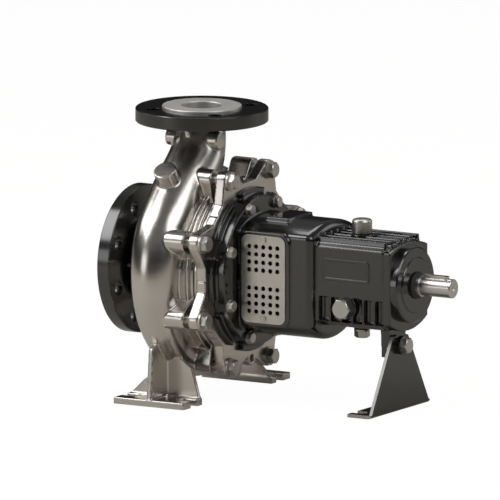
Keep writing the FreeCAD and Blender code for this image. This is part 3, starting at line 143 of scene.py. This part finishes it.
# Raised blank panel on the bearing housing, in millimetres
PANEL_X = (299.0, 366.0)
PANEL_Z = (5.0, 32.0)
PANEL_Y = -47.0
PANEL_HEIGHT = 0.9
PANEL_CORNER = 4.5
PANEL_BORDER = 2.6
FIELD_STEP = 0.4
FIELD_DEPTH = 0.6


def new_object(name, mesh):
    obj = bpy.data.objects.new(name, mesh)
    bpy.context.scene.collection.objects.link(obj)
    return obj


# Camera and lights

def view_axes():
    """Directions to the camera's right, to its top and back towards it."""
    right = Vector((math.cos(AZIMUTH), math.sin(AZIMUTH), 0.0))
    back = Vector((
        math.sin(AZIMUTH) * math.cos(ELEVATION),
        -math.cos(AZIMUTH) * math.cos(ELEVATION),
        math.sin(ELEVATION),
    ))
    return right, back.cross(right), back


def add_camera():
    right, up, back = view_axes()
    aim = FOOT_POINT + right * VIEW_CENTRE_RIGHT + up * VIEW_CENTRE_UP
    data = bpy.data.cameras.new("camera")
    data.type = "ORTHO"
    data.ortho_scale = VIEW_WIDTH
    data.clip_end = CAMERA_REACH
    camera = new_object("camera", data)
    turn = Matrix((right, up, back)).transposed().to_4x4()
    camera.matrix_world = Matrix.Translation(aim + back * CAMERA_DISTANCE) @ turn
    bpy.context.scene.camera = camera


def add_softbox(name, bearing, size, brightness):
    """Area light: bearing gives its shares to the camera's right, upwards and towards the camera."""
    right, up, back = view_axes()
    ahead = Vector((back.x, back.y, 0.0)).normalized()
    side, height, toward = Vector(bearing).normalized()
    target = Vector(LIGHT_TARGET)
    place = target + (right * side + Vector((0, 0, 1)) * height + ahead * toward) * LIGHT_DISTANCE
    data = bpy.data.lights.new(name, "AREA")
    data.shape = "RECTANGLE"
    data.size, data.size_y = size
    data.energy = brightness * math.pi * size[0] * size[1]
    lamp = new_object(name, data)
    turn = (place - target).to_track_quat("Z", "Y").to_matrix().to_4x4()
    lamp.matrix_world = Matrix.Translation(place) @ turn


def add_world():
    """White to the camera and glass; a dim studio sweep to everything that it lights."""
    world = bpy.data.worlds.new("studio")
    bpy.context.scene.world = world
    world.use_nodes = True
    tree = world.node_tree
    tree.nodes.clear()
    out = tree.nodes.new("ShaderNodeOutputWorld")
    mix = tree.nodes.new("ShaderNodeMixShader")
    seen = tree.nodes.new("ShaderNodeBackground")
    seen.inputs["Color"].default_value = (1, 1, 1, 1)
    sweep = tree.nodes.new("ShaderNodeBackground")
    sweep.inputs["Strength"].default_value = WORLD_STRENGTH
    place = tree.nodes.new("ShaderNodeTexCoord")
    split = tree.nodes.new("ShaderNodeSeparateXYZ")
    ramp = tree.nodes.new("ShaderNodeValToRGB")
    stops = ramp.color_ramp.elements
    stops.remove(stops[1])
    for i, (height, level) in enumerate(STUDIO_SWEEP):
        stop = stops.new(height) if i else stops[0]
        stop.position = height
        stop.color = (level, level, level, 1)
    rays = tree.nodes.new("ShaderNodeLightPath")
    either = tree.nodes.new("ShaderNodeMath")
    either.operation = "MAXIMUM"
    shine = tree.nodes.new("ShaderNodeMath")
    shine.operation = "MULTIPLY_ADD"
    shine.inputs[1].default_value = METAL_BACKGROUND_SHARE
    link = tree.links.new
    link(place.outputs["Generated"], split.inputs["Vector"])
    link(split.outputs["Z"], ramp.inputs["Fac"])
    link(ramp.outputs["Color"], sweep.inputs["Color"])
    link(rays.outputs["Is Camera Ray"], either.inputs[0])
    link(rays.outputs["Is Transmission Ray"], either.inputs[1])
    link(rays.outputs["Is Glossy Ray"], shine.inputs[0])
    link(either.outputs["Value"], shine.inputs[2])
    link(shine.outputs["Value"], mix.inputs["Fac"])
    link(sweep.outputs["Background"], mix.inputs[1])
    link(seen.outputs["Background"], mix.inputs[2])
    link(mix.outputs["Shader"], out.inputs["Surface"])


def floor_material():
    material = bpy.data.materials.new("floor_white")
    material.use_nodes = True
    tree = material.node_tree
    tree.nodes.clear()
    out = tree.nodes.new("ShaderNodeOutputMaterial")
    matt = tree.nodes.new("ShaderNodeBsdfDiffuse")
    matt.inputs["Color"].default_value = FLOOR_MATT
    bright = tree.nodes.new("ShaderNodeEmission")
    bright.inputs["Strength"].default_value = FLOOR_WHITE
    mix = tree.nodes.new("ShaderNodeMixShader")
    rays = tree.nodes.new("ShaderNodeLightPath")
    share = tree.nodes.new("ShaderNodeMath")
    share.operation = "MULTIPLY"
    share.inputs[1].default_value = FLOOR_WHITE_SHARE
    shine = tree.nodes.new("ShaderNodeMath")
    shine.operation = "MULTIPLY_ADD"
    shine.inputs[1].default_value = METAL_BACKGROUND_SHARE
    link = tree.links.new
    link(rays.outputs["Is Camera Ray"], share.inputs[0])
    link(rays.outputs["Is Glossy Ray"], shine.inputs[0])
    link(share.outputs["Value"], shine.inputs[2])
    link(shine.outputs["Value"], mix.inputs["Fac"])
    link(matt.outputs["BSDF"], mix.inputs[1])
    link(bright.outputs["Emission"], mix.inputs[2])
    link(mix.outputs["Shader"], out.inputs["Surface"])
    return material


def add_floor():
    """Floor that reads as white to the camera, keeps a faint shadow and darkens away from the pump."""
    bm = bmesh.new()
    bmesh.ops.create_grid(bm, x_segments=1, y_segments=1, size=FLOOR_SIZE / 2)
    bmesh.ops.translate(bm, verts=bm.verts, vec=(PUMP_MIDDLE_X, 0, CAD_BOX[0][2] - FLOOR_DROP))
    mesh = bpy.data.meshes.new("floor")
    bm.to_mesh(mesh)
    bm.free()
    mesh.materials.append(floor_material())
    new_object("floor", mesh)


# Finishes

def painted_edge_highlight(tree, place, tint, shader, edge_highlight_paint):
    """Painted highlight: a pale colour on the sheet's cut edges, which face sideways, in place of the
    light they catch.
    """
    split = tree.nodes.new("ShaderNodeSeparateXYZ")
    aside = tree.nodes.new("ShaderNodeMath")
    aside.operation = "ABSOLUTE"
    mask = tree.nodes.new("ShaderNodeMapRange")
    mask.inputs["From Min"].default_value = SIDEWAYS_START
    mask.inputs["From Max"].default_value = SIDEWAYS_FULL
    blend = tree.nodes.new("ShaderNodeMix")
    blend.data_type = "RGBA"
    blend.inputs["B"].default_value = (*edge_highlight_paint, 1)
    link = tree.links.new
    link(place.outputs["Normal"], split.inputs["Vector"])
    link(split.outputs["Y"], aside.inputs[0])
    link(aside.outputs["Value"], mask.inputs["Value"])
    link(mask.outputs["Result"], blend.inputs["Factor"])
    link(tint.outputs["Color"], blend.inputs["A"])
    link(blend.outputs["Result"], shader.inputs["Base Color"])


def metal_finish(name, colour, metallic, roughness, grain_scale, grain_bump, rough_spread,
                 tint_spread=0.12, index=1.5, edge_radius=0.0, edge_highlight_paint=None):
    """Finish with colour drift, uneven gloss and a fine skin, all on object coordinates."""
    material = bpy.data.materials.new(name)
    material.use_nodes = True
    tree = material.node_tree
    shader = tree.nodes["Principled BSDF"]
    shader.inputs["Metallic"].default_value = metallic
    shader.inputs["IOR"].default_value = index
    link = tree.links.new
    place = tree.nodes.new("ShaderNodeTexCoord")

    drift = tree.nodes.new("ShaderNodeTexNoise")
    drift.inputs["Scale"].default_value = DRIFT_SCALE
    drift.inputs["Detail"].default_value = 3.0
    link(place.outputs["Object"], drift.inputs["Vector"])
    tint = tree.nodes.new("ShaderNodeValToRGB")
    dark = [c * (1.0 - tint_spread) for c in colour]
    light = [min(1.0, c * (1.0 + tint_spread)) for c in colour]
    tint.color_ramp.elements[0].position = 0.3
    tint.color_ramp.elements[0].color = (*dark, 1)
    tint.color_ramp.elements[1].position = 0.7
    tint.color_ramp.elements[1].color = (*light, 1)
    link(drift.outputs["Fac"], tint.inputs["Fac"])
    link(tint.outputs["Color"], shader.inputs["Base Color"])
    # Painted highlight on faces that point sideways, when a colour for it is given
    if edge_highlight_paint:
        painted_edge_highlight(tree, place, tint, shader, edge_highlight_paint)

    patch = tree.nodes.new("ShaderNodeTexNoise")
    patch.inputs["Scale"].default_value = PATCH_SCALE
    patch.inputs["Detail"].default_value = 4.0
    link(place.outputs["Object"], patch.inputs["Vector"])
    gloss = tree.nodes.new("ShaderNodeMapRange")
    gloss.inputs["To Min"].default_value = max(0.02, roughness - rough_spread)
    gloss.inputs["To Max"].default_value = roughness + rough_spread
    link(patch.outputs["Fac"], gloss.inputs["Value"])
    link(gloss.outputs["Result"], shader.inputs["Roughness"])

    grain = tree.nodes.new("ShaderNodeTexNoise")
    grain.inputs["Scale"].default_value = grain_scale
    grain.inputs["Detail"].default_value = 5.0
    link(place.outputs["Object"], grain.inputs["Vector"])
    bump = tree.nodes.new("ShaderNodeBump")
    bump.inputs["Strength"].default_value = grain_bump
    bump.inputs["Distance"].default_value = GRAIN_DEPTH
    link(grain.outputs["Fac"], bump.inputs["Height"])
    if edge_radius:
        rounded = tree.nodes.new("ShaderNodeBevel")
        rounded.samples = 4
        rounded.inputs["Radius"].default_value = edge_radius
        link(rounded.outputs["Normal"], bump.inputs["Normal"])
    link(bump.outputs["Normal"], shader.inputs["Normal"])
    return material


def make_finishes():
    return {
        "stainless_cast": metal_finish(
            "cast_stainless", CAST_STEEL, metallic=1.0, roughness=0.24,
            grain_scale=420.0, grain_bump=0.015, rough_spread=0.02, tint_spread=0.04),
        "stainless_machined": metal_finish(
            "turned_stainless", TURNED_STEEL, metallic=1.0, roughness=0.28,
            grain_scale=700.0, grain_bump=0.015, rough_spread=0.02, tint_spread=0.04,
            edge_radius=0.0004),
        "stainless_faced": metal_finish(
            "faced_stainless", FACED_STEEL, metallic=1.0, roughness=0.50,
            grain_scale=900.0, grain_bump=0.06, rough_spread=0.05, tint_spread=0.05,
            edge_radius=0.0006),
        "stainless_sheet": metal_finish(
            "sheet_stainless", SHEET_STEEL, metallic=1.0, roughness=0.33,
            grain_scale=600.0, grain_bump=0.06, rough_spread=0.06, tint_spread=0.06,
            edge_radius=0.0003),
        "black_paint": metal_finish(
            "black_paint", BLACK_PAINT, metallic=0.0, roughness=0.17,
            grain_scale=300.0, grain_bump=0.02, rough_spread=0.03, tint_spread=0.10,
            index=PAINT_INDEX, edge_radius=0.0010),
        "black_paint_steel": metal_finish(
            "black_sheet_paint", BLACK_PAINT, metallic=0.0, roughness=0.20,
            grain_scale=260.0, grain_bump=0.02, rough_spread=0.04, tint_spread=0.10,
            index=PAINT_INDEX, edge_radius=0.0006),
        # Black sheet with a painted highlight on its sideways-facing cut edges
        "black_sheet": metal_finish(
            "black_sheet_painted_edge_highlight", BLACK_PAINT, metallic=0.0, roughness=0.20,
            grain_scale=260.0, grain_bump=0.02, rough_spread=0.04, tint_spread=0.10,
            index=PAINT_INDEX, edge_radius=0.0004, edge_highlight_paint=EDGE_HIGHLIGHT_COLOUR),
        "zinc_steel": metal_finish(
            "zinc_plate", ZINC, metallic=1.0, roughness=0.36,
            grain_scale=500.0, grain_bump=0.08, rough_spread=0.08, tint_spread=0.10,
            edge_radius=0.0005),
        "bearing_steel": metal_finish(
            "ground_steel", GROUND_STEEL, metallic=1.0, roughness=0.12,
            grain_scale=900.0, grain_bump=0.03, rough_spread=0.03, tint_spread=0.04),
        "seal_rubber": metal_finish(
            "black_rubber", RUBBER, metallic=0.0, roughness=0.62,
            grain_scale=700.0, grain_bump=0.20, rough_spread=0.08),
        "seal_ceramic": metal_finish(
            "pale_ceramic", CERAMIC, metallic=0.0, roughness=0.18,
            grain_scale=500.0, grain_bump=0.03, rough_spread=0.04, tint_spread=0.04),
    }


def finish_nodes(finishes):
    for part in frame["record"]["subparts"]:
        mesh = NODES[part["node"]].data
        mesh.materials.clear()
        finish = SPECIAL_FINISHES.get(part["node"], part["material_slot"])
        mesh.materials.append(finishes[finish])


# Castings

def shaped(obj, name):
    """The object's mesh as its modifiers leave it, under a new name."""
    mesh = bpy.data.meshes.new_from_object(obj.evaluated_get(bpy.context.evaluated_depsgraph_get()))
    mesh.name = name
    return mesh


def welded_copy(node):
    mesh = NODES[node].data.copy()
    bm = bmesh.new()
    bm.from_mesh(mesh)
    bmesh.ops.remove_doubles(bm, verts=bm.verts, dist=WELD_DISTANCE)
    bm.to_mesh(mesh)
    bm.free()
    return mesh


def rim_cutter():
    """Prisms that clear the cover's rim in the valleys between its lobes, except at the jacking boss."""
    bm = bmesh.new()
    outer_r = FLANK_END_R + RIM_CLEARANCE
    outline = (
        (RIM_R, -RIM_HALF), (RIM_R, RIM_HALF), (FLANK_END_R, FLANK_END_HALF),
        (outer_r, FLANK_END_HALF), (outer_r, -FLANK_END_HALF), (FLANK_END_R, -FLANK_END_HALF),
    )
    for i in range(LOBES):
        if i == JACKING_VALLEY:
            continue
        turn = Matrix.Rotation(2 * math.pi * i / LOBES, 4, "X")
        corners = [bm.verts.new(turn @ Vector((RIM_X0, r, t)) * MM) for r, t in outline]
        face = bm.faces.new(corners)
        grown = bmesh.ops.extrude_face_region(bm, geom=[face])["geom"]
        raised = [v for v in grown if isinstance(v, bmesh.types.BMVert)]
        bmesh.ops.translate(bm, verts=raised, vec=((RIM_X1 - RIM_X0) * MM, 0, 0))
    bmesh.ops.recalc_face_normals(bm, faces=bm.faces)
    mesh = bpy.data.meshes.new("rim_cutter")
    bm.to_mesh(mesh)
    bm.free()
    return new_object("rim_cutter", mesh)


def fine_skin(node, name, rounds, cutter):
    """Even skin over a solid, relaxed so that its edges round as cast ones do."""
    raw = new_object(name + "_raw", welded_copy(node))
    if cutter:
        cut = raw.modifiers.new("cut", "BOOLEAN")
        cut.object = cutter
        cut.solver = "EXACT"
    skin = raw.modifiers.new("skin", "REMESH")
    skin.mode = "VOXEL"
    skin.voxel_size = SKIN_CELL
    relax = raw.modifiers.new("relax", "SMOOTH")
    relax.factor = 0.5
    relax.iterations = rounds
    mesh = shaped(raw, name + "_fine")
    bpy.data.objects.remove(raw)
    if cutter:
        bpy.data.objects.remove(cutter)
    mesh.polygons.foreach_set("use_smooth", [True] * len(mesh.polygons))
    return mesh


def casting(node, name, rounds, share, finishes, slot, cutter=None):
    """Piece in a node's place: its fine skin with fewer faces, shaded by the fine one's normals."""
    fine_mesh = fine_skin(node, name, rounds, cutter)
    fine = new_object(name + "_fine", fine_mesh)
    coarse = new_object(name + "_coarse", fine_mesh.copy())
    thin = coarse.modifiers.new("thin", "DECIMATE")
    thin.ratio = share
    gloss = coarse.modifiers.new("gloss", "DATA_TRANSFER")
    gloss.object = fine
    gloss.use_loop_data = True
    gloss.data_types_loops = {"CUSTOM_NORMAL"}
    gloss.loop_mapping = "POLYINTERP_NEAREST"
    mesh = shaped(coarse, name)
    bpy.data.objects.remove(coarse)
    bpy.data.objects.remove(fine)
    mesh.materials.clear()
    mesh.materials.append(finishes[slot])
    piece = new_object(name, mesh)
    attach(piece, "pump")
    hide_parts(node)


# Bearing housing

def blank_panel(finishes):
    """Raised panel with a sunk field, as on the side of the bearing housing."""
    bm = bmesh.new()
    bmesh.ops.create_cube(bm, size=1.0)
    size = ((PANEL_X[1] - PANEL_X[0]) * MM, 2 * PANEL_HEIGHT * MM, (PANEL_Z[1] - PANEL_Z[0]) * MM)
    bmesh.ops.scale(bm, verts=bm.verts, vec=size)
    middle = (sum(PANEL_X) / 2 * MM, PANEL_Y * MM, sum(PANEL_Z) / 2 * MM)
    bmesh.ops.translate(bm, verts=bm.verts, vec=middle)
    upright = [e for e in bm.edges if abs((e.verts[0].co - e.verts[1].co).normalized().y) > 0.9]
    bmesh.ops.bevel(
        bm, geom=upright, offset=PANEL_CORNER * MM, offset_type="OFFSET", segments=5, profile=0.5,
        affect="EDGES", material=-1,
    )
    bm.normal_update()
    front = min(bm.faces, key=lambda f: f.calc_center_median().y)
    bmesh.ops.inset_region(bm, faces=[front], thickness=PANEL_BORDER * MM, depth=0.0)
    bmesh.ops.inset_region(bm, faces=[front], thickness=FIELD_STEP * MM, depth=-FIELD_DEPTH * MM)
    mesh = bpy.data.meshes.new("blank_panel")
    bm.to_mesh(mesh)
    bm.free()
    mesh.materials.append(finishes["black_paint"])
    panel = new_object("blank_panel", mesh)
    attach(panel, "pump")


def main():
    bpy.context.scene.view_settings.view_transform = "Standard"
    add_camera()
    for softbox in SOFTBOXES:
        add_softbox(*softbox)
    add_world()
    add_floor()
    finishes = make_finishes()
    finish_nodes(finishes)
    casting("casing", "casing_skin", STEEL_ROUNDS, CASING_SHARE, finishes, "stainless_cast")
    casting(
        "casing_cover", "cover_skin", STEEL_ROUNDS, COVER_SHARE, finishes, "stainless_cast",
        rim_cutter(),
    )
    casting("bearing_bracket", "bracket_skin", BRACKET_ROUNDS, BRACKET_SHARE, finishes, "black_paint")
    blank_panel(finishes)


main()
